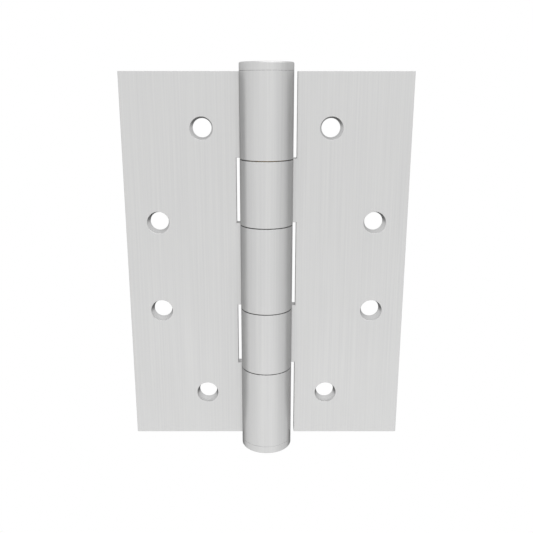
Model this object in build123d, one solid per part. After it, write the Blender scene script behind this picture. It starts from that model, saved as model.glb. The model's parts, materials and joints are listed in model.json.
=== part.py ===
"""Five-knuckle butt hinge with thrust ball bearings hidden inside its barrel.

Frame: the pin's axis is Z and the origin is at its middle. The leaves lie open and flat, along X.
Their countersunk front faces look towards -Y, the side that the barrel stands out on. Millimetres.
"""

import math
import os

from build123d import *

# Leaves
LEAF_HEIGHT = 102.0
OPEN_WIDTH = 76.0
LEAF_THICKNESS = 3.0
CLOSED_GAP = 3.5  # between the two front faces when the hinge is shut

# Pin and knuckles
PIN_DIAMETER = 8.0
PIN_CLEARANCE = 0.05  # radial, pin to knuckle bore
PIN_CHAMFER = 0.5
KNUCKLE_WALL = 2.95  # the leaf's sheet, drawn a little thinner where it is rolled
END_KNUCKLE_LENGTH = 22.0  # top and bottom knuckles
SIDE_KNUCKLE_LENGTH = 17.3  # the two knuckles of the other leaf
KNUCKLE_GAP = 0.2  # running gap between neighbouring knuckles
NOTCH_CLEARANCE = 1.0  # from a knuckle to the edge of the leaf that it turns against
SWAGE_RADIUS = 4.0  # blend behind the barrel, where the rolled sheet turns into the leaf
ROLL_SEAM = 0.35  # slit where the rolled edge comes back to the leaf

# Screw holes: two near the barrel, at the ends, and two further out, in the middle
SCREW_HOLE_DIAMETER = 5.0
COUNTERSINK_RIM = 0.5  # radial width of the countersink
COUNTERSINK_LAND = 0.5  # straight length that the countersink leaves at the back of a hole
HOLE_SPACING = 25.0  # from one hole to the next, along the leaf
INNER_HOLE_REACH = 17.0  # from the pin's axis
OUTER_HOLE_REACH = 29.25
HOLE_PATTERN_DROP = 0.8  # the hole pattern sits this far below the middle of the leaf

# End tips
TIP_HEIGHT = 2.1
TIP_CHAMFER = 0.35
SPIGOT_LENGTH = 4.0
PIN_END_GAP = 0.1  # between the pin and each spigot
PRESS_CLEARANCE = 0.02  # radial, for pieces that are pressed in

# Thrust bearings
BEARING_WIDTH = 1.95  # radial room that a bearing's pocket takes out of the knuckle wall
RACE_THICKNESS = 0.7
RACE_CLEARANCE = 0.2  # radial, race to pin
BALL_DIAMETER = 1.0
BALL_COUNT = 10
BALL_CLEARANCE = 0.02  # above and below a ball
CAGE_THICKNESS = 0.5
CAGE_CLEARANCE = 0.15  # radial, cage to pin and to pocket
CAGE_PLAY = 0.06  # between a ball and its window

# Derived sizes
HALF_HEIGHT = LEAF_HEIGHT / 2
HALF_WIDTH = OPEN_WIDTH / 2
FRONT_Y = CLOSED_GAP / 2
BACK_Y = FRONT_Y + LEAF_THICKNESS
PIN_RADIUS = PIN_DIAMETER / 2
BORE_RADIUS = PIN_RADIUS + PIN_CLEARANCE
BARREL_RADIUS = BORE_RADIUS + KNUCKLE_WALL
NOTCH_X = BARREL_RADIUS + NOTCH_CLEARANCE
SCREW_HOLE_RADIUS = SCREW_HOLE_DIAMETER / 2
COUNTERSINK_DEPTH = LEAF_THICKNESS - COUNTERSINK_LAND
POCKET_RADIUS = BORE_RADIUS + BEARING_WIDTH
RACE_INNER_RADIUS = PIN_RADIUS + RACE_CLEARANCE
RACE_OUTER_RADIUS = POCKET_RADIUS - PRESS_CLEARANCE
BALL_PITCH_RADIUS = (RACE_INNER_RADIUS + RACE_OUTER_RADIUS) / 2
BALL_ROOM = BALL_DIAMETER + 2 * BALL_CLEARANCE
BEARING_HEIGHT = BALL_ROOM + 2 * RACE_THICKNESS

# Heights where one knuckle ends and the next begins, from the top down
UPPER_JOINT_Z = HALF_HEIGHT - END_KNUCKLE_LENGTH
INNER_JOINT_Z = UPPER_JOINT_Z - SIDE_KNUCKLE_LENGTH
KNUCKLE_ENDS = [HALF_HEIGHT, UPPER_JOINT_Z, INNER_JOINT_Z, -INNER_JOINT_Z, -UPPER_JOINT_Z, -HALF_HEIGHT]
BEARING_JOINTS = {"upper_bearing": UPPER_JOINT_Z, "lower_bearing": -UPPER_JOINT_Z}


def upright(radius, bottom, top):
    """A cylinder on the pin's axis between two heights."""
    return Pos(0, 0, (bottom + top) / 2) * Cylinder(radius, top - bottom)


def plan_rectangle(x_from, x_to, y_from, y_to):
    """A rectangle in the plan view between two corners."""
    middle = Pos((x_from + x_to) / 2, (y_from + y_to) / 2)
    return middle * Rectangle(x_to - x_from, y_to - y_from)


def knuckle_plan():
    """Plan of one knuckle: the leaf's edge rolled round the pin, with the seam where it comes back."""
    plan = Circle(BARREL_RADIUS) + plan_rectangle(0, NOTCH_X, FRONT_Y, BACK_Y)
    corner_x = math.sqrt(BARREL_RADIUS**2 - BACK_Y**2)
    corner = plan.vertices().sort_by_distance((corner_x, BACK_Y))[0]
    plan = fillet(corner, SWAGE_RADIUS)
    seam = plan_rectangle(0, NOTCH_X, FRONT_Y - ROLL_SEAM, FRONT_Y)
    return plan - Circle(BORE_RADIUS) - seam


def knuckle_faces(number):
    """Heights of the bottom and top faces of a knuckle, numbered from the top of the barrel."""
    top, bottom = KNUCKLE_ENDS[number : number + 2]
    if top < HALF_HEIGHT:
        top -= KNUCKLE_GAP / 2
    if bottom > -HALF_HEIGHT:
        bottom += KNUCKLE_GAP / 2
    return bottom, top


def screw_hole(x, z):
    """A through hole along Y with its countersink in the front face."""
    along_y = Rot(X=90)
    hole = Cylinder(SCREW_HOLE_RADIUS, LEAF_THICKNESS)
    countersink = Cone(SCREW_HOLE_RADIUS, SCREW_HOLE_RADIUS + COUNTERSINK_RIM, COUNTERSINK_DEPTH)
    hole = Pos(x, FRONT_Y + LEAF_THICKNESS / 2, z) * along_y * hole
    return hole + Pos(x, FRONT_Y + COUNTERSINK_DEPTH / 2, z) * along_y * countersink


def hole_places():
    """(x, z) of a leaf's screw holes, from the top down."""
    reaches = [INNER_HOLE_REACH, OUTER_HOLE_REACH, OUTER_HOLE_REACH, INNER_HOLE_REACH]
    top_z = HOLE_SPACING * (len(reaches) - 1) / 2 - HOLE_PATTERN_DROP
    return [(reach, top_z - row * HOLE_SPACING) for row, reach in enumerate(reaches)]


def make_leaf(knuckles):
    """A leaf on the +X side with the knuckles of the given numbers, counted from the top."""
    plate = plan_rectangle(NOTCH_X, HALF_WIDTH, FRONT_Y, BACK_Y)
    leaf = Pos(0, 0, -HALF_HEIGHT) * extrude(plate, LEAF_HEIGHT)
    plan = knuckle_plan()
    for number in knuckles:
        bottom, top = knuckle_faces(number)
        leaf += Pos(0, 0, bottom) * extrude(plan, top - bottom)
    for joint_z in BEARING_JOINTS.values():
        leaf -= upright(POCKET_RADIUS, joint_z - BEARING_HEIGHT / 2, joint_z + BEARING_HEIGHT / 2)
    for x, z in hole_places():
        leaf -= screw_hole(x, z)
    return leaf


def make_top_tip():
    """A flat button as wide as the barrel, with a spigot that is pressed into its bore."""
    button = upright(BARREL_RADIUS, HALF_HEIGHT, HALF_HEIGHT + TIP_HEIGHT)
    rim = button.edges().filter_by(GeomType.CIRCLE).sort_by(Axis.Z)[-1]
    button = chamfer(rim, TIP_CHAMFER)
    return button + upright(BORE_RADIUS - PRESS_CLEARANCE, HALF_HEIGHT - SPIGOT_LENGTH, HALF_HEIGHT)


def make_pin():
    """The plain pin, which fills the barrel from one spigot to the other."""
    half_length = HALF_HEIGHT - SPIGOT_LENGTH - PIN_END_GAP
    pin = upright(PIN_RADIUS, -half_length, half_length)
    return chamfer(pin.edges().filter_by(GeomType.CIRCLE), PIN_CHAMFER)


def make_race():
    """A flat hardened washer with its lower face at z = 0."""
    return extrude(Circle(RACE_OUTER_RADIUS) - Circle(RACE_INNER_RADIUS), RACE_THICKNESS)


def ball_places():
    """Places of one bearing's balls on their pitch circle, each turned to face the axis."""
    return PolarLocations(BALL_PITCH_RADIUS, BALL_COUNT)


def make_balls():
    """The balls of one bearing, at z = 0. Each is drawn with flats, to keep a hidden set light."""
    blank = Box(BALL_DIAMETER, BALL_DIAMETER, BALL_DIAMETER)
    even_flats = BALL_DIAMETER / (2 + math.sqrt(2))
    ball = chamfer(blank.edges(), even_flats)
    return [place * ball for place in ball_places()]


def make_cage():
    """The pressed ring that spaces the balls of one bearing, at z = 0."""
    ring = Circle(POCKET_RADIUS - CAGE_CLEARANCE) - Circle(PIN_RADIUS + CAGE_CLEARANCE)
    cage = Pos(0, 0, -CAGE_THICKNESS / 2) * extrude(ring, CAGE_THICKNESS)
    window_side = BALL_DIAMETER + 2 * CAGE_PLAY
    for place in ball_places():
        cage -= place * Box(window_side, window_side, CAGE_THICKNESS)
    return cage


def make_parts():
    """Every piece by its name."""
    top_tip = make_top_tip()
    parts = {
        "three_knuckle_leaf": mirror(make_leaf([0, 2, 4]), Plane.YZ),
        "two_knuckle_leaf": make_leaf([1, 3]),
        "hinge_pin": make_pin(),
        "top_tip": top_tip,
        "bottom_tip": mirror(top_tip, Plane.XY),
    }
    race, cage, balls = make_race(), make_cage(), make_balls()
    for bearing, joint_z in BEARING_JOINTS.items():
        at_joint = Pos(0, 0, joint_z)
        parts[f"{bearing}_top_race"] = at_joint * Pos(0, 0, BALL_ROOM / 2) * race
        parts[f"{bearing}_bottom_race"] = at_joint * Pos(0, 0, -BALL_ROOM / 2 - RACE_THICKNESS) * race
        parts[f"{bearing}_cage"] = at_joint * cage
        parts[f"{bearing}_balls"] = Compound(children=[at_joint * ball for ball in balls])
    return parts


os.makedirs("parts", exist_ok=True)
for name, shape in make_parts().items():
    export_step(shape, f"parts/{name}.step")
    print(f"{name}: {len(shape.solids())} solid(s), {shape.volume:.1f} mm3")
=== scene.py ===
# %% [markdown]
# A door hinge, opened flat
#
# Two steel leaves have their edges rolled into knuckles, and one pin runs through all five knuckles.
# Small ball bearings are hidden in two of the joints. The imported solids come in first, as a fixed
# frame. Every piece that is modelled here takes its place and its main sizes from them, so that nothing
# has to be fitted afterwards and the pieces move with the same bodies.

# %% Load the frame
import json
import math

import bpy
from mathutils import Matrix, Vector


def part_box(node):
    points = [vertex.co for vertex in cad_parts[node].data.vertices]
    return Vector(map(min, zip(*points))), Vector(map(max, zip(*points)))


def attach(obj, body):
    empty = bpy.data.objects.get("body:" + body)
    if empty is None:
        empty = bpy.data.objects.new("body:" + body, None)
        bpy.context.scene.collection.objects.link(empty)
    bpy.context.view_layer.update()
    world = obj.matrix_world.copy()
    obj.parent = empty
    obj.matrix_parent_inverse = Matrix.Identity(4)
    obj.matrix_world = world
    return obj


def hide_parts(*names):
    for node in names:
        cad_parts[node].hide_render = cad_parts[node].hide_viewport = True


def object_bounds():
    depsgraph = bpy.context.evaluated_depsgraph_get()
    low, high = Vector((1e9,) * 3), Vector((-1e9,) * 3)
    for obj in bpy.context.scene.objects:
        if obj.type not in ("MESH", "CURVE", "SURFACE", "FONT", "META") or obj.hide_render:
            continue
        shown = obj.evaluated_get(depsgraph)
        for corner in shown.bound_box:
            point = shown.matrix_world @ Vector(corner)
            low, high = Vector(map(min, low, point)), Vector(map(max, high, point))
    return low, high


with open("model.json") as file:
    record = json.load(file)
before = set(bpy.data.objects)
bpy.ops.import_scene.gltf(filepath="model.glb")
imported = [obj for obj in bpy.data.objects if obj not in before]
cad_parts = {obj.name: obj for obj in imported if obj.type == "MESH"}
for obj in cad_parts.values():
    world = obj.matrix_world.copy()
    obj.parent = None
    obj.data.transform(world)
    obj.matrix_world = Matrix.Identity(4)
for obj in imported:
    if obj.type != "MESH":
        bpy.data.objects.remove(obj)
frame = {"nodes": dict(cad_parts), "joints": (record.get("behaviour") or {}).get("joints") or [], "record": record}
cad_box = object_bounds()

MM = 0.001
PRINTED_DIGITS = 2


def in_mm(length):
    """A length in millimetres, rounded for printing."""
    return round(length / MM, PRINTED_DIGITS)


print("CAD box in mm:", [[in_mm(value) for value in corner] for corner in cad_box])

# %% [markdown]
# The camera
#
# The picture looks a little down on the hinge from close by: the leaves narrow towards the bottom. Such
# a view could be set by eye, but here its place, tilt and lens were worked out from the corners of the
# leaves, whose real size is known. The lens is given for a sensor 36 mm wide.

# %% Set the camera
CAMERA_PLACE = (0, -171.78 * MM, 46.63 * MM)
CAMERA_TILT = math.radians(74.789)
CAMERA_LENS = 44.155
NEAREST_SEEN = 5 * MM

bpy.ops.object.select_all(action="DESELECT")
bpy.ops.object.camera_add(location=CAMERA_PLACE, rotation=(CAMERA_TILT, 0, 0))
camera = bpy.context.object
camera.data.lens = CAMERA_LENS
camera.data.clip_start = NEAREST_SEEN
bpy.context.scene.camera = camera
print("camera at", [in_mm(value) for value in camera.location], "mm")

# %% [markdown]
# Nodes
#
# The light of the room and every finish are made of shader nodes. They could be put together by hand in
# the shader editor, but a script can be read and run again. Three helpers keep it short: one adds a
# node, one adds a calculation, and one tells which rays are seen.

# %% Nodes for the room and the finishes
scene = bpy.context.scene
scene.view_settings.view_transform = "Standard"


def add_node(tree, kind, **values):
    """A shader node of that kind, with some of its input sockets set by name."""
    node = tree.nodes.new("ShaderNode" + kind)
    for socket, value in values.items():
        node.inputs[socket.replace("_", " ")].default_value = value
    return node


def add_math(tree, operation, *sources):
    """The output of a Math node, with each of its inputs a number or another node's output."""
    node = tree.nodes.new("ShaderNodeMath")
    node.operation = operation
    for socket, source in zip(node.inputs, sources):
        if isinstance(source, (int, float)):
            socket.default_value = source
        else:
            tree.links.new(source, socket)
    return node.outputs[0]


def add_seen(tree, path):
    """1 for a ray that shows a surface to the camera, directly, in metal or through glass."""
    seen = add_math(tree, "MAXIMUM", path.outputs["Is Camera Ray"], path.outputs["Is Glossy Ray"])
    return add_math(tree, "MAXIMUM", seen, path.outputs["Is Transmission Ray"])


print("view transform:", scene.view_settings.view_transform)

# %% [markdown]
# The studio
#
# Metal has hardly any colour of its own: it shows what stands around it. The camera sees a white room.
# In the metal, its side walls and the ground behind the hinge look greyer, because a round barrel and a
# bored hole in an all-white room would look flat. Grey boards could stand there instead, but they would
# shade the hinge as well. Here the world asks what kind of ray it answers, and turns grey for mirror
# rays only.

# %% The white room
WHITE = (1, 1, 1, 1)
ROOM_LIGHT = 0.85  # brightness of the room as a source of light
WALL_SHADE = 0.22  # how much darker the side walls are in the metal
WALL_LEAN = 0.08  # how much more of that the right wall has, and how much less the left wall
WALL_EDGE = 4  # how sharply the side walls begin
GROUND_SHADE = 0.85  # how much darker the ground behind the hinge is in the metal
GROUND_TOP, GROUND_DEEP = -0.1, -0.4  # between these heights of a direction the ground sets in
GROUND_NEAR, GROUND_FAR = 0.3, 0.8  # and between these shares of it that point behind the hinge


def add_grey(tree):
    """How much darker the room is in the metal, by direction."""
    direction = add_node(tree, "SeparateXYZ")
    tree.links.new(add_node(tree, "TexCoord").outputs["Generated"], direction.inputs[0])
    sideways = add_math(tree, "POWER", add_math(tree, "ABSOLUTE", direction.outputs["X"]), WALL_EDGE)
    shade = add_math(tree, "MULTIPLY_ADD", direction.outputs["X"], WALL_LEAN, WALL_SHADE)
    wall = add_math(tree, "MULTIPLY", sideways, shade)
    ground = add_node(tree, "MapRange", From_Min=GROUND_TOP, From_Max=GROUND_DEEP, To_Max=GROUND_SHADE)
    tree.links.new(direction.outputs["Z"], ground.inputs["Value"])
    behind = add_node(tree, "MapRange", From_Min=GROUND_NEAR, From_Max=GROUND_FAR)
    tree.links.new(direction.outputs["Y"], behind.inputs["Value"])
    return add_math(tree, "MULTIPLY_ADD", ground.outputs[0], behind.outputs[0], wall)


def make_room():
    """The world: white where it is seen, a little dimmer where it only lights."""
    world = bpy.data.worlds.new("white_room")
    world.use_nodes = True
    tree = world.node_tree
    tree.nodes.clear()
    path = add_node(tree, "LightPath")
    grey = add_math(tree, "MULTIPLY", add_grey(tree), path.outputs["Is Glossy Ray"])
    lighting = add_node(tree, "Background", Color=WHITE, Strength=ROOM_LIGHT)
    backdrop = add_node(tree, "Background", Color=WHITE)
    mix = add_node(tree, "MixShader")
    output = add_node(tree, "OutputWorld")
    tree.links.new(add_math(tree, "SUBTRACT", 1.0, grey), backdrop.inputs["Strength"])
    tree.links.new(add_seen(tree, path), mix.inputs["Fac"])
    tree.links.new(lighting.outputs[0], mix.inputs[1])
    tree.links.new(backdrop.outputs[0], mix.inputs[2])
    tree.links.new(mix.outputs[0], output.inputs["Surface"])
    return world


scene.world = make_room()
print("room light", ROOM_LIGHT)

# %% [markdown]
# The floor
#
# The hinge hangs in the air, as if held by one leaf, and its shadow falls on a strip of white paper well
# below. More light could make the paper white, but it would bleach the steel as well. So the paper glows
# a little where it is seen, and the glow lights nothing.

# %% The paper on the floor
FLOOR_DROP = 250 * MM  # from the hinge's lowest point
FLOOR_WIDTH = 0.6
FLOOR_FRONT, FLOOR_BACK = -1.5, 0.12
PAPER_WHITE = (0.8, 0.8, 0.8, 1)
PAPER_GLOW = 0.24  # what the lit paper lacks to white


def make_paper():
    """White paper. Its glow is seen but lights nothing, so that shadows stay."""
    paper = bpy.data.materials.new("white_paper")
    paper.use_nodes = True
    tree = paper.node_tree
    shader = tree.nodes["Principled BSDF"]
    shader.inputs["Base Color"].default_value = PAPER_WHITE
    shader.inputs["Roughness"].default_value = 1.0
    shader.inputs["Specular IOR Level"].default_value = 0.0
    shader.inputs["Emission Color"].default_value = WHITE
    seen = add_seen(tree, add_node(tree, "LightPath"))
    glow = add_math(tree, "MULTIPLY", seen, PAPER_GLOW)
    tree.links.new(glow, shader.inputs["Emission Strength"])
    return paper


def make_floor():
    """A strip of paper below the hinge."""
    bpy.ops.object.select_all(action="DESELECT")
    middle = (FLOOR_FRONT + FLOOR_BACK) / 2
    bpy.ops.mesh.primitive_plane_add(size=1, location=(0, middle, cad_box[0][2] - FLOOR_DROP))
    floor = bpy.context.object
    floor.name = "floor"
    floor.scale = (FLOOR_WIDTH, FLOOR_BACK - FLOOR_FRONT, 1)
    floor.data.materials.append(make_paper())
    return floor


floor = make_floor()
print("floor at", in_mm(floor.location.z), "mm")

# %% [markdown]
# The lamp
#
# The hinge needs some light from above, so that its top faces stand out. Several small lamps could give
# it, but each would leave a bright spot of its own on the steel. One large lamp gives soft, even light.

# %% Hang the lamp
LAMP_PLACE = (0.35, -0.4, 1.0)
LAMP_SIZE = 1.6
LAMP_POWER = 6.0


def add_lamp():
    """One large soft lamp, high in front and a little to the right, turned towards the hinge."""
    bpy.ops.object.select_all(action="DESELECT")
    bpy.ops.object.light_add(type="AREA", location=LAMP_PLACE)
    lamp = bpy.context.object
    lamp.data.size = LAMP_SIZE
    lamp.data.energy = LAMP_POWER
    lamp.rotation_euler = (-lamp.location).to_track_quat("-Z", "Y").to_euler()
    lamp.visible_camera = False
    return lamp


lamp = add_lamp()
print("lamp of", lamp.data.energy, "W")

# %% [markdown]
# The sizes that the pieces share
#
# The frame already knows most sizes: a solid's box gives its length and radius, a mount gives a screw
# hole, a joint gives the height of a bearing. Only sizes that no box can show are written here, such as
# the thickness of the sheet.

# %% Read the sizes from the frame
LEAF_THICKNESS = 3.0 * MM
PIN_CLEARANCE = 0.05 * MM  # radial, pin to bore
NOTCH_CLEARANCE = 1.0 * MM  # from the barrel to the edge of a notch
PRESS_CLEARANCE = 0.02 * MM  # radial, for pieces that are pressed in

mounts = {mount["name"]: mount for mount in frame["record"]["mounts"]}
joint_heights = {joint["name"]: joint["pos_m"][2] for joint in frame["joints"]}
leaf_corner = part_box("two_knuckle_leaf")[1]
tip_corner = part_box("top_tip")[1]
race_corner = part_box("upper_bearing_top_race")[1]

HALF_WIDTH, HALF_HEIGHT = leaf_corner.x, leaf_corner.z
BACK_Y = mounts["door_leaf_back"]["pos_m"][1]
FRONT_Y = BACK_Y - LEAF_THICKNESS
BARREL_RADIUS = tip_corner.x
TIP_TOP = tip_corner.z
BORE_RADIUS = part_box("hinge_pin")[1].x + PIN_CLEARANCE
NOTCH_X = BARREL_RADIUS + NOTCH_CLEARANCE
UPPER_JOINT_Z = joint_heights["upper_ball_ring_roll"]
POCKET_RADIUS = race_corner.x + PRESS_CLEARANCE
POCKET_HALF = race_corner.z - UPPER_JOINT_Z
print("barrel radius", in_mm(BARREL_RADIUS), "mm, bore radius", in_mm(BORE_RADIUS), "mm")

# %% [markdown]
# Finishes
#
# Every piece is bare metal, so the finishes differ by how the metal was worked: brushed, cut, bored,
# eased, turned, polished, ground or pressed. An image of brushed steel could be wrapped round the pieces,
# but its lines would stretch at the bends. Noise on Object coordinates, squeezed along one direction,
# draws the same lines at any size and on any face.

# %% Metal and noise
FACE_GLANCE, BORE_GLANCE = 0.45, 0.5  # share of its mirror light that metal keeps at a glancing view
PLAIN, RICH, RICHEST = 2.0, 3.0, 4.0  # how much small noise lies on the large


def new_metal(name, glancing=FACE_GLANCE):
    """A metal material, with its node tree and its shader."""
    material = bpy.data.materials.new(name)
    material.use_nodes = True
    shader = material.node_tree.nodes["Principled BSDF"]
    shader.inputs["Metallic"].default_value = 1.0
    shader.inputs["Specular Tint"].default_value = (glancing, glancing, glancing, 1)
    return material, material.node_tree, shader


def add_streaks(tree, spacing, detail=PLAIN):
    """Noise whose spots measure about spacing = (x, y, z) metres: unequal sizes draw lines."""
    place = add_node(tree, "TexCoord").outputs["Object"]
    mapping = add_node(tree, "Mapping", Scale=[1 / size for size in spacing])
    noise = add_node(tree, "TexNoise", Scale=1.0, Detail=detail)
    tree.links.new(place, mapping.inputs["Vector"])
    tree.links.new(mapping.outputs[0], noise.inputs["Vector"])
    return noise.outputs["Fac"]


print("glancing views keep", FACE_GLANCE, "of the light, and", BORE_GLANCE, "in the bores")

# %% What the noise does to the surface
NOISE_LOW, NOISE_HIGH = 0.3, 0.7  # where most of a noise texture's values lie


def spread(tree, noise, low, high):
    """Noise turned into a value between two limits."""
    node = add_node(tree, "MapRange", From_Min=NOISE_LOW, From_Max=NOISE_HIGH, To_Min=low, To_Max=high)
    tree.links.new(noise, node.inputs["Value"])
    return node.outputs[0]


def tint(tree, shader, noise, dark, light):
    """The base colour, from dark to light as the noise goes up."""
    ramp = tree.nodes.new("ShaderNodeValToRGB")
    for stop, position, colour in zip(ramp.color_ramp.elements, (NOISE_LOW, NOISE_HIGH), (dark, light)):
        stop.position = position
        stop.color = (*colour, 1)
    tree.links.new(noise, ramp.inputs["Fac"])
    tree.links.new(ramp.outputs["Color"], shader.inputs["Base Color"])


def raise_lines(tree, shader, noise, height):
    """Bump of that height in metres."""
    bump = add_node(tree, "Bump", Strength=1.0, Distance=height)
    tree.links.new(noise, bump.inputs["Height"])
    tree.links.new(bump.outputs[0], shader.inputs["Normal"])


def score(tree, shader, noise, roughness, height):
    """Lines that are both rougher, between two limits, and raised."""
    tree.links.new(spread(tree, noise, *roughness), shader.inputs["Roughness"])
    raise_lines(tree, shader, noise, height)


print("noise is read between", NOISE_LOW, "and", NOISE_HIGH)

# %% [markdown]
# Brushed faces
#
# The faces of the leaves are brushed up and down, which leaves fine upright lines and a few broader
# streaks. Hands and cloths leave faint cloudy patches that are a little rougher. One noise could be used
# for everything, but these marks differ too much in size, so each has a noise of its own.

# %% Brushed steel
FINE_LINE = (0.14 * MM, 0.14 * MM, 12 * MM)  # its size along x, y and z
BROAD_STREAK = (0.45 * MM, 0.45 * MM, 45 * MM)
CLOUDY_PATCH = (16 * MM, 16 * MM, 24 * MM)
BRUSHED_DARK, BRUSHED_LIGHT = (0.625, 0.625, 0.625), (0.668, 0.668, 0.663)
PATCH_ROUGHNESS = (0.28, 0.38)
LINE_ROUGHNESS = (0.0, 0.06)  # on top of the patches
LINE_HEIGHT = 0.004 * MM


def make_brushed():
    """Steel brushed along the leaf's height."""
    material, tree, shader = new_metal("brushed_steel")
    fine = add_streaks(tree, FINE_LINE)
    broad = add_streaks(tree, BROAD_STREAK, RICHEST)
    cloudy = add_streaks(tree, CLOUDY_PATCH, RICH)
    tint(tree, shader, broad, BRUSHED_DARK, BRUSHED_LIGHT)
    patches = spread(tree, cloudy, *PATCH_ROUGHNESS)
    lines = spread(tree, fine, *LINE_ROUGHNESS)
    tree.links.new(add_math(tree, "ADD", patches, lines), shader.inputs["Roughness"])
    raise_lines(tree, shader, fine, LINE_HEIGHT)
    return material


brushed_steel = make_brushed()
print("made", brushed_steel.name)

# %% [markdown]
# Cut edges
#
# The sheet's edges were never brushed: they have lines along the blade's way through the sheet. The
# brushed steel could be turned for them, but a cut edge is also darker and rougher, so it is a finish of
# its own.

# %% Cut steel
DRAG_LINE = (0.12 * MM, 2.5 * MM, 0.12 * MM)
CUT_PATCH = (1.5 * MM, 6 * MM, 1.5 * MM)
CUT_DARK, CUT_LIGHT = (0.5, 0.5, 0.5), (0.54, 0.54, 0.54)
CUT_ROUGHNESS = (0.36, 0.5)
DRAG_HEIGHT = 0.006 * MM


def make_cut():
    """Steel as the blade left it: lines along Y, through the sheet."""
    material, tree, shader = new_metal("cut_steel")
    tint(tree, shader, add_streaks(tree, CUT_PATCH, RICH), CUT_DARK, CUT_LIGHT)
    score(tree, shader, add_streaks(tree, DRAG_LINE), CUT_ROUGHNESS, DRAG_HEIGHT)
    return material


cut_steel = make_cut()
print("made", cut_steel.name)

# %% [markdown]
# Bored holes
#
# A drill leaves fine rings in a hole. They could be modelled, but they are far too fine: noise that is
# squeezed along the holes' axis draws them. The bores of the barrel, which hardly show, share the finish.

# %% Bored steel
DRILL_RING = (2.5 * MM, 0.1 * MM, 2.5 * MM)
BORED_DARK, BORED_LIGHT = (0.6, 0.6, 0.6), (0.66, 0.66, 0.66)
BORED_ROUGHNESS = (0.24, 0.34)
RING_HEIGHT = 0.004 * MM


def make_bored():
    """Steel inside a screw hole or the barrel: the drill's rings, across Y in the holes."""
    material, tree, shader = new_metal("bored_steel", BORE_GLANCE)
    rings = add_streaks(tree, DRILL_RING)
    tint(tree, shader, rings, BORED_DARK, BORED_LIGHT)
    score(tree, shader, rings, BORED_ROUGHNESS, RING_HEIGHT)
    return material


bored_steel = make_bored()
print("made", bored_steel.name)

# %% [markdown]
# Eased edges
#
# The edges of the real leaves are rounded a little, get polished by handling and catch the light. Wear
# along edges is often found by a node that looks at the surface's bends. These edges are real bevels with
# faces of their own, so they simply get a smoother and brighter finish.

# %% Eased steel
RUBBED_PATCH = (0.5 * MM, 0.5 * MM, 3 * MM)
EASED_DARK, EASED_LIGHT = (0.58, 0.58, 0.58), (0.68, 0.68, 0.675)
EASED_ROUGHNESS = (0.2, 0.32)
RUB_HEIGHT = 0.002 * MM


def make_eased():
    """Steel of the rounded edges, rubbed bright."""
    material, tree, shader = new_metal("eased_steel")
    rub = add_streaks(tree, RUBBED_PATCH, RICH)
    tint(tree, shader, rub, EASED_DARK, EASED_LIGHT)
    score(tree, shader, rub, EASED_ROUGHNESS, RUB_HEIGHT)
    return material


eased_steel = make_eased()
print("made", eased_steel.name)

# %% [markdown]
# Drawing a rolled sheet
#
# On the real hinge the leaf's edge is rolled up until it comes back to the leaf, so from above a leaf
# looks like a letter P with a small slit. It could be put together from a cube and
# cylinders, but faces that only touch leave hair-thin ledges when solids are joined. Here the sheet is
# drawn in one go: one point is extruded along the straight stretches and spun round a centre for the
# bends, and the closed outline is filled and pulled up to the leaf's height.

# %% Tools for drawing
ARC_STEP = math.radians(3)  # the most that one edge of a bend turns
SAME_PLACE = 0.001 * MM  # points closer than this are one point


def select_only(piece):
    """Makes one object the only selected one, and the active one."""
    bpy.ops.object.select_all(action="DESELECT")
    piece.select_set(True)
    bpy.context.view_layer.objects.active = piece


def place_in_mesh(piece):
    """Moves an object's place, turn and scale into its mesh, so that the object sits at the origin."""
    select_only(piece)
    bpy.ops.object.transform_apply(location=True, rotation=True, scale=True)


def start_outline(name, x, y, z):
    """A new mesh of one point, open in edit mode."""
    bpy.ops.object.select_all(action="DESELECT")
    bpy.ops.mesh.primitive_plane_add(size=MM, location=(x, y, z))
    piece = bpy.context.object
    piece.name = name
    place_in_mesh(piece)
    bpy.ops.object.mode_set(mode="EDIT")
    bpy.ops.mesh.select_mode(type="VERT")
    bpy.ops.mesh.select_all(action="SELECT")
    bpy.ops.mesh.merge(type="CENTER")
    return piece


def draw_line(x, y):
    """Extrudes the selected point by a step."""
    bpy.ops.mesh.extrude_vertices_move(TRANSFORM_OT_translate={"value": (x, y, 0)})


def draw_arc(centre_x, centre_y, z, turn):
    """Spins the selected point round an upright axis. A positive turn is anticlockwise from above."""
    steps = math.ceil(abs(turn) / ARC_STEP)
    bpy.ops.mesh.spin(steps=steps, angle=-turn, center=(centre_x, centre_y, z), axis=(0, 0, 1))


def fill_and_raise(height):
    """Closes the outline, fills it, pulls the face up and turns every face outwards."""
    bpy.ops.mesh.select_all(action="SELECT")
    bpy.ops.mesh.remove_doubles(threshold=SAME_PLACE)
    bpy.ops.mesh.select_all(action="SELECT")
    bpy.ops.mesh.edge_face_add()
    bpy.ops.mesh.extrude_region_move(TRANSFORM_OT_translate={"value": (0, 0, height)})
    bpy.ops.mesh.select_all(action="SELECT")
    bpy.ops.mesh.normals_make_consistent(inside=False)
    bpy.ops.object.mode_set(mode="OBJECT")


print("a full turn is drawn with", math.ceil(2 * math.pi / ARC_STEP), "edges")

# %% Roll the sheets
LEFT, RIGHT = -1, 1  # signs of x
SWAGE_RADIUS = 4.0 * MM  # bend behind the barrel
ROLL_SEAM = 0.35 * MM  # slit where the rolled edge comes back to the leaf


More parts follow.
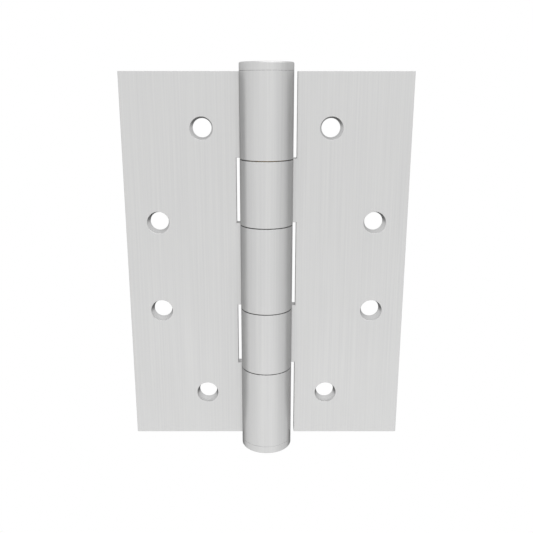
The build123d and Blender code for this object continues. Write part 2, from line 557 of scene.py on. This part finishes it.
def roll_sheet(name, side):
    """A leaf before it is cut, on the left or on the right."""
    swage_y = BACK_Y + SWAGE_RADIUS
    reach = BARREL_RADIUS + SWAGE_RADIUS
    swage_x = math.sqrt(reach**2 - swage_y**2)
    roll_start = math.atan2(swage_y, swage_x)
    seam_y = FRONT_Y - ROLL_SEAM
    outer_stop = math.asin(seam_y / BARREL_RADIUS)
    bore_start = math.asin(seam_y / BORE_RADIUS)
    bore_stop = math.asin(FRONT_Y / BORE_RADIUS)
    lip = BARREL_RADIUS * math.cos(outer_stop) - BORE_RADIUS * math.cos(bore_start)

    # Along the back, round the bend and the barrel, in through the slit, round the bore and out again
    bottom = -HALF_HEIGHT
    sheet = start_outline(name, side * HALF_WIDTH, BACK_Y, bottom)
    draw_line(side * (swage_x - HALF_WIDTH), 0)
    draw_arc(side * swage_x, swage_y, bottom, -side * (math.pi / 2 - roll_start))
    draw_arc(0, 0, bottom, side * (2 * math.pi + outer_stop - roll_start))
    draw_line(-side * lip, 0)
    draw_arc(0, 0, bottom, -side * (2 * math.pi + bore_start - bore_stop))
    draw_line(side * (HALF_WIDTH - BORE_RADIUS * math.cos(bore_stop)), 0)
    draw_line(0, LEAF_THICKNESS)
    fill_and_raise(2 * HALF_HEIGHT)
    return sheet


frame_leaf = roll_sheet("frame_leaf_sheet", LEFT)
door_leaf = roll_sheet("door_leaf_sheet", RIGHT)
leaves = (frame_leaf, door_leaf)
print("rolled", [leaf.name for leaf in leaves])

# %% [markdown]
# Is it closed?
#
# A real sheet has an inside and an outside, and the cuts that follow need to know which is which. Holes
# in a mesh could be looked for by eye, but counting is surer: in a closed mesh, every edge has exactly
# two faces.

# %% Count the open edges
FACES_ON_EDGE = 2  # in a closed mesh


def open_edges(piece):
    """How many edges of a mesh have more or fewer faces than in a closed one."""
    faces_on_edge = {}
    for face in piece.data.polygons:
        for edge in face.edge_keys:
            faces_on_edge[edge] = faces_on_edge.get(edge, 0) + 1
    return sum(1 for count in faces_on_edge.values() if count != FACES_ON_EDGE)


def print_mesh(piece):
    """Prints a piece's faces, and whether it is closed."""
    print(piece.name, len(piece.data.polygons), "faces,", open_edges(piece), "open edges")


for leaf in leaves:
    print_mesh(leaf)

# %% [markdown]
# Knuckles and notches
#
# Between its knuckles a leaf is cut back, so that the other leaf's knuckles can turn there. On the real
# one the flat blank is notched before it is rolled. A rolled solid is easier to cut afterwards, with a
# plain block for each notch.

# %% Blocks and cuts
KNUCKLE_GAP = 0.2 * MM  # running gap between neighbours
SIDE_KNUCKLE_LENGTH = 17.3 * MM
CUT_ROOM = 0.5 * MM  # how far a cutter stands out of the faces that it cuts
HALF_GAP = KNUCKLE_GAP / 2
INNER_JOINT_Z = UPPER_JOINT_Z - SIDE_KNUCKLE_LENGTH
PAST_END = HALF_HEIGHT + CUT_ROOM


def add_block(name, low, high):
    """A rectangular block between two corners."""
    bpy.ops.object.select_all(action="DESELECT")
    middle = [(first + last) / 2 for first, last in zip(low, high)]
    bpy.ops.mesh.primitive_cube_add(size=1, location=middle)
    block = bpy.context.object
    block.name = name
    block.scale = [last - first for first, last in zip(low, high)]
    place_in_mesh(block)
    return block


def cut_out(piece, cutter):
    """Cuts a solid out of a piece, and removes the solid."""
    select_only(piece)
    step = piece.modifiers.new("cut", "BOOLEAN")
    step.operation = "DIFFERENCE"
    step.solver = "EXACT"
    step.object = cutter
    bpy.ops.object.modifier_apply(modifier=step.name)
    bpy.data.objects.remove(cutter)


def cut_notches(leaf, side, notches):
    """Cuts a leaf back between pairs of heights, to the room that the other leaf's knuckles need."""
    depth = BARREL_RADIUS + CUT_ROOM
    low_x, high_x = sorted((-side * depth, side * NOTCH_X))
    for bottom, top in notches:
        cut_out(leaf, add_block("notch", (low_x, -depth, bottom), (high_x, depth, top)))


print("a cutter stands out by", in_mm(CUT_ROOM), "mm")

# %% Cut the notches
frame_notches = [
    (INNER_JOINT_Z - HALF_GAP, UPPER_JOINT_Z + HALF_GAP),
    (-UPPER_JOINT_Z - HALF_GAP, HALF_GAP - INNER_JOINT_Z),
]
door_notches = [
    (UPPER_JOINT_Z - HALF_GAP, PAST_END),
    (-INNER_JOINT_Z - HALF_GAP, INNER_JOINT_Z + HALF_GAP),
    (-PAST_END, HALF_GAP - UPPER_JOINT_Z),
]
cut_notches(frame_leaf, LEFT, frame_notches)
cut_notches(door_leaf, RIGHT, door_notches)
for leaf in leaves:
    print_mesh(leaf)

# %% [markdown]
# Bearing pockets
#
# Each bearing sits in a pocket that two neighbouring knuckles share, so that nothing of it shows outside.
# A lathe would bore it into the end of each knuckle. A wider bore could be drawn into the outline, but the
# outline is the same at every height. So one cylinder is modelled, and copies of it cut both leaves.

# %% Bore the pockets
ROUND_SIDES = 96  # edges round a pocket, a screw hole or a tip


def add_upright(name, radius, bottom, top):
    """A cylinder on the pin's axis between two heights."""
    bpy.ops.object.select_all(action="DESELECT")
    bpy.ops.mesh.primitive_cylinder_add(
        vertices=ROUND_SIDES, radius=radius, depth=top - bottom, location=(0, 0, (bottom + top) / 2)
    )
    cylinder = bpy.context.object
    cylinder.name = name
    place_in_mesh(cylinder)
    return cylinder


def copy_piece(piece, name):
    """A copy of a piece with a mesh of its own."""
    copy = piece.copy()
    copy.data = piece.data.copy()
    copy.name = name
    bpy.context.collection.objects.link(copy)
    return copy


def cut_copies(piece, cutter, places):
    """Cuts copies of a solid out of a piece, moved to the given places."""
    for place in places:
        copy = copy_piece(cutter, cutter.name)
        copy.location = place
        place_in_mesh(copy)
        cut_out(piece, copy)


pocket = add_upright("pocket", POCKET_RADIUS, -POCKET_HALF, POCKET_HALF)
for leaf in leaves:
    cut_copies(leaf, pocket, [(0, 0, UPPER_JOINT_Z), (0, 0, -UPPER_JOINT_Z)])
    print_mesh(leaf)
bpy.data.objects.remove(pocket)

# %% [markdown]
# Screw holes
#
# Four screws hold each leaf, in holes that widen towards the front for the screws' heads. The mounts of the
# frame say where they are. Each hole could be cut in two steps, straight and then tapered. One cutter with
# both shapes leaves no seam between them: a cylinder whose front is extruded and widened.

# %% Model the cutter of a screw hole
HOLE_RADIUS = mounts["door_leaf_inner_screws"]["dims"]["hole_r_mm"] * MM
COUNTERSINK_RIM = 0.5 * MM  # how much wider a hole is at the front, on each side
COUNTERSINK_LAND = 0.5 * MM  # straight length left at the back
COUNTERSINK_DEPTH = LEAF_THICKNESS - COUNTERSINK_LAND
FACING = 0.8  # a normal's share along an axis, past which a face counts as facing that way


def select_faces(piece, wanted):
    """In edit mode, selects just the faces for which wanted(face) is true."""
    bpy.ops.mesh.select_mode(type="FACE")
    bpy.ops.mesh.select_all(action="DESELECT")
    bpy.ops.object.mode_set(mode="OBJECT")
    for face in piece.data.polygons:
        face.select = wanted(face)
    bpy.ops.object.mode_set(mode="EDIT")


def make_hole_cutter():
    """A screw hole as a solid, on the Y axis: straight, and widened into its countersink at the front."""
    straight_front = FRONT_Y + COUNTERSINK_DEPTH
    straight_back = BACK_Y + CUT_ROOM
    bpy.ops.object.select_all(action="DESELECT")
    bpy.ops.mesh.primitive_cylinder_add(
        vertices=ROUND_SIDES,
        radius=HOLE_RADIUS,
        depth=straight_back - straight_front,
        location=(0, (straight_front + straight_back) / 2, 0),
        rotation=(math.pi / 2, 0, 0),
    )
    cutter = bpy.context.object
    cutter.name = "screw_hole"
    place_in_mesh(cutter)
    bpy.ops.object.mode_set(mode="EDIT")
    select_faces(cutter, lambda face: face.normal.y < -FACING)
    bpy.ops.mesh.extrude_region_move(TRANSFORM_OT_translate={"value": (0, -COUNTERSINK_DEPTH, 0)})
    flare = (HOLE_RADIUS + COUNTERSINK_RIM) / HOLE_RADIUS
    bpy.ops.transform.resize(value=(flare, 1, flare), center_override=(0, FRONT_Y, 0))
    bpy.ops.mesh.extrude_region_move(TRANSFORM_OT_translate={"value": (0, -CUT_ROOM, 0)})
    bpy.ops.object.mode_set(mode="OBJECT")
    return cutter


hole_cutter = make_hole_cutter()
print_mesh(hole_cutter)


# %% Cut the screw holes
def hole_places(body):
    """Places of one leaf's screw holes on the XZ plane, from its two bolt patterns."""
    places = []
    for row in ("inner", "outer"):
        mount = mounts[f"{body}_{row}_screws"]
        x, _, z = mount["pos_m"]
        half_spacing = mount["dims"]["spacing_y_mm"] * MM / 2
        places += [(x, 0, z + half_spacing), (x, 0, z - half_spacing)]
    return places


leaf_holes = {frame_leaf.name: hole_places("frame_leaf"), door_leaf.name: hole_places("door_leaf")}
for leaf in leaves:
    cut_copies(leaf, hole_cutter, leaf_holes[leaf.name])
    print_mesh(leaf)
bpy.data.objects.remove(hole_cutter)

# %% [markdown]
# Faces of the leaves
#
# A real leaf has large smooth faces. The cuts have split them into many small ones, which would disturb
# the bevels, so they are merged. How they merge depends on the order of the mesh's points, which changes
# from run to run, so the points are sorted first. The finishes could be painted on by hand, face by face.
# It is quicker and surer to choose them by each face's place and the way that it looks.

# %% Merge the flats
FLAT_ANGLE = math.radians(0.1)
SORT_PLACE = (0.1, 0.23, 0.37)  # off every plane of symmetry, so that distances from here differ


def merge_flats(piece):
    """Merges doubled points, and faces that lie in one plane, in the same order in every run."""
    select_only(piece)
    bpy.ops.object.mode_set(mode="EDIT")
    bpy.ops.mesh.select_all(action="SELECT")
    bpy.ops.mesh.remove_doubles(threshold=SAME_PLACE)
    scene.cursor.location = SORT_PLACE
    bpy.ops.mesh.sort_elements(type="CURSOR_DISTANCE", elements={"VERT", "EDGE", "FACE"})
    bpy.ops.mesh.dissolve_limited(angle_limit=FLAT_ANGLE)
    bpy.ops.object.mode_set(mode="OBJECT")


for leaf in leaves:
    merge_flats(leaf)
    print_mesh(leaf)

# %% Give the faces their finishes
leaf_finishes = (brushed_steel, cut_steel, bored_steel, eased_steel)
BRUSHED, CUT, BORED, EASED = range(len(leaf_finishes))  # a leaf's material slots


def leaf_finish(face, holes):
    """The slot for a face of a leaf: bored in the holes and the barrel, cut on the sheet's edges."""
    centre = face.center
    is_wall = abs(face.normal.y) < FACING
    hole_reach = HOLE_RADIUS + COUNTERSINK_RIM
    if is_wall and any(math.hypot(centre.x - x, centre.z - z) < hole_reach for x, _, z in holes):
        return BORED
    if abs(face.normal.z) > FACING:
        return CUT
    if math.hypot(centre.x, centre.y) < POCKET_RADIUS + SAME_PLACE:
        return BORED
    if is_wall and abs(centre.x) > NOTCH_X - SAME_PLACE:
        return CUT
    return BRUSHED


for leaf in leaves:
    for material in leaf_finishes:
        leaf.data.materials.append(material)
    for face in leaf.data.polygons:
        face.material_index = leaf_finish(face, leaf_holes[leaf.name])
    bored = [face for face in leaf.data.polygons if face.material_index == BORED]
    print(leaf.name, "has", len(bored), "bored faces")

# %% [markdown]
# Edges of the leaves
#
# A real edge is never quite sharp, and the line of light on its rounding is what makes metal look solid. A
# bevel modifier could do it, but it would also round the hidden bores. Here the sharp edges are selected,
# those inside the barrel are left out, and the rest is bevelled in edit mode. Weighted normals then keep
# the large faces flat up to the bevels.

# %% Ease the edges
EASED_EDGE = 0.1 * MM
EASED_STEPS = 3
SHARP_ANGLE = math.radians(24)
WALL_DEPTH = 0.1 * MM  # points this far under the barrel's surface are inside it


def ease_edges(piece, width, finish, kept_sharp):
    """Rounds the sharp edges that have no point kept sharp, and shades flats flat and bends smooth."""
    select_only(piece)
    bpy.ops.object.mode_set(mode="EDIT")
    bpy.ops.mesh.select_mode(type="EDGE")
    bpy.ops.mesh.select_all(action="DESELECT")
    bpy.ops.mesh.edges_select_sharp(sharpness=SHARP_ANGLE)
    bpy.ops.object.mode_set(mode="OBJECT")
    points = piece.data.vertices
    for edge in piece.data.edges:
        if any(kept_sharp(points[index].co) for index in edge.vertices):
            edge.select = False
    bpy.ops.object.mode_set(mode="EDIT")
    bpy.ops.mesh.bevel(
        offset=width,
        segments=EASED_STEPS,
        affect="EDGES",
        clamp_overlap=False,
        loop_slide=False,
        material=finish,
    )
    bpy.ops.object.mode_set(mode="OBJECT")
    bpy.ops.object.shade_smooth_by_angle(angle=SHARP_ANGLE)
    weighting = piece.modifiers.new("flat_shading", "WEIGHTED_NORMAL")
    weighting.keep_sharp = True
    bpy.ops.object.modifier_apply(modifier=weighting.name)


def is_inside_barrel(point):
    """True for a point of a knuckle's bore, bearing pocket or seam."""
    return math.hypot(point.x, point.y) < BARREL_RADIUS - WALL_DEPTH


for leaf, body, node in (
    (frame_leaf, "frame_leaf", "three_knuckle_leaf"),
    (door_leaf, "door_leaf", "two_knuckle_leaf"),
):
    ease_edges(leaf, EASED_EDGE, EASED, is_inside_barrel)
    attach(leaf, body)
    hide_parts(node)
    print_mesh(leaf)

# %% [markdown]
# Turned faces
#
# The flat buttons at the ends of the barrel are turned on a lathe, and the tool leaves fine rings. A wave
# texture can draw rings, but they would all be equally wide. Noise that depends only on the distance from
# the axis and on the height draws uneven ones, as a tool does.

# %% Turned steel
TURNED_RING, TURNED_BAND = 0.14 * MM, 0.35 * MM
TURNED_DARK, TURNED_LIGHT = (0.595, 0.595, 0.595), (0.615, 0.615, 0.61)
TURNED_ROUGHNESS = (0.28, 0.38)
TURNED_HEIGHT = 0.0015 * MM


def add_rings(tree, spacing):
    """Lines round the pin's axis, about spacing metres apart, on flat ends and on upright walls."""
    place = add_node(tree, "SeparateXYZ")
    tree.links.new(add_node(tree, "TexCoord").outputs["Object"], place.inputs[0])
    x, y, z = place.outputs
    squares = [add_math(tree, "MULTIPLY", side, side) for side in (x, y)]
    radius = add_math(tree, "SQRT", add_math(tree, "ADD", *squares))
    noise = add_node(tree, "TexNoise", Scale=1 / spacing, Detail=PLAIN)
    noise.noise_dimensions = "1D"
    tree.links.new(add_math(tree, "ADD", radius, z), noise.inputs["W"])
    return noise.outputs["Fac"]


def make_turned():
    """Steel turned on a lathe: rings on the face and round the rim."""
    material, tree, shader = new_metal("turned_steel")
    tint(tree, shader, add_rings(tree, TURNED_BAND), TURNED_DARK, TURNED_LIGHT)
    score(tree, shader, add_rings(tree, TURNED_RING), TURNED_ROUGHNESS, TURNED_HEIGHT)
    return material


turned_steel = make_turned()
print("made", turned_steel.name)

# %% [markdown]
# The two tips
#
# Each button has a spigot that is pressed into the end knuckle, and its wall is brushed together with the
# barrel. Its outline could be drawn and spun round the axis, but a cylinder is nearly there already: its
# underside is inset and extruded into the spigot, and its rim is bevelled. The other tip is a copy,
# turned over.

# %% Turn a tip
TIP_ROUNDING = 0.35 * MM
TIP_STEPS = 4
TIP_EASED_EDGE = EASED_EDGE / 2
SPIGOT_LENGTH = 4.0 * MM
tip_finishes = (turned_steel, brushed_steel)
TIP_FACE, TIP_WALL = range(len(tip_finishes))  # a tip's material slots


def select_edges(piece, wanted):
    """In edit mode, selects just the edges whose two points are both wanted."""
    bpy.ops.mesh.select_mode(type="EDGE")
    bpy.ops.mesh.select_all(action="DESELECT")
    bpy.ops.object.mode_set(mode="OBJECT")
    points = piece.data.vertices
    for edge in piece.data.edges:
        edge.select = all(wanted(points[index].co) for index in edge.vertices)
    bpy.ops.object.mode_set(mode="EDIT")


def turn_tip():
    """The top tip: a button with a rounded rim above a spigot."""
    spigot_radius = BORE_RADIUS - PRESS_CLEARANCE
    tip = add_upright("top_tip_button", BARREL_RADIUS, HALF_HEIGHT, TIP_TOP)
    bpy.ops.object.mode_set(mode="EDIT")
    select_faces(tip, lambda face: face.normal.z < -FACING)
    bpy.ops.mesh.inset(thickness=BARREL_RADIUS - spigot_radius)
    bpy.ops.mesh.extrude_region_move(TRANSFORM_OT_translate={"value": (0, 0, -SPIGOT_LENGTH)})
    select_edges(tip, lambda point: point.z > TIP_TOP - SAME_PLACE)
    bpy.ops.mesh.bevel(offset=TIP_ROUNDING, segments=TIP_STEPS, affect="EDGES")
    bpy.ops.object.mode_set(mode="OBJECT")
    ease_edges(tip, TIP_EASED_EDGE, TIP_FACE, lambda point: point.z < HALF_HEIGHT - SAME_PLACE)
    return tip


top_tip = turn_tip()
print_mesh(top_tip)

# %% Finish and copy the tip
for material in tip_finishes:
    top_tip.data.materials.append(material)
for face in top_tip.data.polygons:
    face.material_index = TIP_WALL if abs(face.normal.z) < FACING else TIP_FACE
bottom_tip = copy_piece(top_tip, "bottom_tip_button")
bottom_tip.rotation_euler = (math.pi, 0, 0)
place_in_mesh(bottom_tip)
for tip, node in ((top_tip, "top_tip"), (bottom_tip, "bottom_tip")):
    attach(tip, "frame_leaf")
    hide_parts(node)
    print_mesh(tip)

# %% [markdown]
# Polished balls
#
# Bearing balls are the smoothest pieces of the hinge. A perfect mirror could stand for them, but real
# ones have a faint haze of scuffs, so a fine noise makes them a little rougher in places.

# %% Polished steel
SCUFF = (0.15 * MM, 0.15 * MM, 0.15 * MM)
POLISHED_DARK, POLISHED_LIGHT = (0.58, 0.58, 0.6), (0.62, 0.62, 0.64)
POLISHED_ROUGHNESS = (0.06, 0.14)
SCUFF_HEIGHT = 0.0005 * MM


def make_polished():
    """Hardened steel, polished, with a haze of fine scuffs."""
    material, tree, shader = new_metal("polished_steel")
    haze = add_streaks(tree, SCUFF, RICHEST)
    tint(tree, shader, haze, POLISHED_DARK, POLISHED_LIGHT)
    score(tree, shader, haze, POLISHED_ROUGHNESS, SCUFF_HEIGHT)
    return material


polished_steel = make_polished()
print("made", polished_steel.name)

# %% [markdown]
# The balls of the bearings
#
# The weight of a door would grind one knuckle on the next, so hardened balls run between two races in the
# joints under the top knuckle and above the bottom one. A sphere primitive could be used, but it has
# poles where its faces crowd together. A cube that is subdivided and cast to a sphere has even faces all
# round.

# %% Make a ball
BALL_CUTS = 7  # cuts of the cube, each way


def make_ball(diameter):
    """One ball, at the origin."""
    bpy.ops.object.select_all(action="DESELECT")
    bpy.ops.mesh.primitive_cube_add(size=diameter, location=(0, 0, 0))
    ball = bpy.context.object
    bpy.ops.object.mode_set(mode="EDIT")
    bpy.ops.mesh.select_all(action="SELECT")
    bpy.ops.mesh.subdivide(number_cuts=BALL_CUTS)
    bpy.ops.object.mode_set(mode="OBJECT")
    rounding = ball.modifiers.new("round", "CAST")
    rounding.factor = 1.0
    rounding.use_radius_as_size = False
    rounding.size = diameter / 2
    bpy.ops.object.modifier_apply(modifier=rounding.name)
    bpy.ops.object.shade_smooth()
    return ball


ball_low, ball_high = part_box("upper_bearing_balls")
ball = make_ball(ball_high.z - ball_low.z)
ball.data.materials.append(polished_steel)
print("ball of", in_mm(ball.dimensions.z), "mm")

# %% Place the balls
BALL_COUNT = 10  # in each bearing


def place_balls(name, bearing, ball):
    """Copies of the ball on their pitch circle, joined into one piece."""
    low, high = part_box(f"{bearing}_balls")
    pitch_radius = high.x - (high.z - low.z) / 2
    middle_z = (low.z + high.z) / 2
    copies = []
    for number in range(BALL_COUNT):
        angle = 2 * math.pi * number / BALL_COUNT
        copy = copy_piece(ball, name)
        copy.location = (pitch_radius * math.cos(angle), pitch_radius * math.sin(angle), middle_z)
        copies.append(copy)
    select_only(copies[0])
    for copy in copies:
        copy.select_set(True)
    bpy.ops.object.join()
    balls = bpy.context.object
    place_in_mesh(balls)
    return balls


for bearing, body in (("upper_bearing", "upper_ball_ring"), ("lower_bearing", "lower_ball_ring")):
    balls = place_balls(f"{bearing}_ball_set", bearing, ball)
    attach(balls, body)
    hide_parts(f"{bearing}_balls")
    print_mesh(balls)
bpy.data.objects.remove(ball)

# %% [markdown]
# Ground steel
#
# A grinding wheel leaves closer rings than a lathe, on the pin and on the races. The turned finish could
# serve again, but its rings are too wide. The races are a little darker than the pin, so one function
# makes both finishes, each with its own two colours.

# %% Grind the pin and the races
GRINDING_RING = 0.07 * MM
GRINDING_PATCH = (3 * MM, 3 * MM, 3 * MM)
GRINDING_ROUGHNESS = (0.16, 0.28)
GRINDING_HEIGHT = 0.002 * MM
PIN_DARK, PIN_LIGHT = (0.5, 0.5, 0.51), (0.57, 0.57, 0.58)
RACE_DARK, RACE_LIGHT = (0.45, 0.45, 0.47), (0.52, 0.52, 0.54)


def make_ground(name, dark, light):
    """Ground steel, with close rings."""
    material, tree, shader = new_metal(name)
    tint(tree, shader, add_streaks(tree, GRINDING_PATCH, RICH), dark, light)
    score(tree, shader, add_rings(tree, GRINDING_RING), GRINDING_ROUGHNESS, GRINDING_HEIGHT)
    return material


pin_steel = make_ground("ground_pin_steel", PIN_DARK, PIN_LIGHT)
race_steel = make_ground("ground_race_steel", RACE_DARK, RACE_LIGHT)
print("made", pin_steel.name, "and", race_steel.name)

# %% [markdown]
# Pressed brass
#
# The cages that space the balls are pressed from thin brass sheet, and grow dull where nothing rubs them.
# Plain yellow metal could stand for it. One noise for colour, roughness and height makes its hollows both
# darker and duller, as on a real one.

# %% Brass for the cages
BRASS_PATCH = (0.6 * MM, 0.6 * MM, 0.6 * MM)
BRASS_DARK, BRASS_LIGHT = (0.6, 0.42, 0.17), (0.76, 0.56, 0.27)
BRASS_ROUGHNESS = (0.42, 0.24)  # the hollows are rougher than the heights
BRASS_HEIGHT = 0.003 * MM


def make_brass():
    """Pressed brass, a little dull in the hollows of its surface."""
    material, tree, shader = new_metal("pressed_brass")
    patches = add_streaks(tree, BRASS_PATCH, RICHEST)
    tint(tree, shader, patches, BRASS_DARK, BRASS_LIGHT)
    score(tree, shader, patches, BRASS_ROUGHNESS, BRASS_HEIGHT)
    return material


brass = make_brass()
print("made", brass.name)

# %% [markdown]
# Pin, races and cages
#
# These sit inside the barrel and are already right as solids. They could be modelled again, but no edge of
# them shows, so they keep their shape and only get a finish.

# %% Finish the pieces inside the barrel
inner_finishes = {"hinge_pin": pin_steel}
for bearing in ("upper_bearing", "lower_bearing"):
    inner_finishes[f"{bearing}_top_race"] = race_steel
    inner_finishes[f"{bearing}_bottom_race"] = race_steel
    inner_finishes[f"{bearing}_cage"] = brass
for node, finish in inner_finishes.items():
    frame["nodes"][node].material_slots[0].material = finish
print(len(inner_finishes), "inner pieces finished")
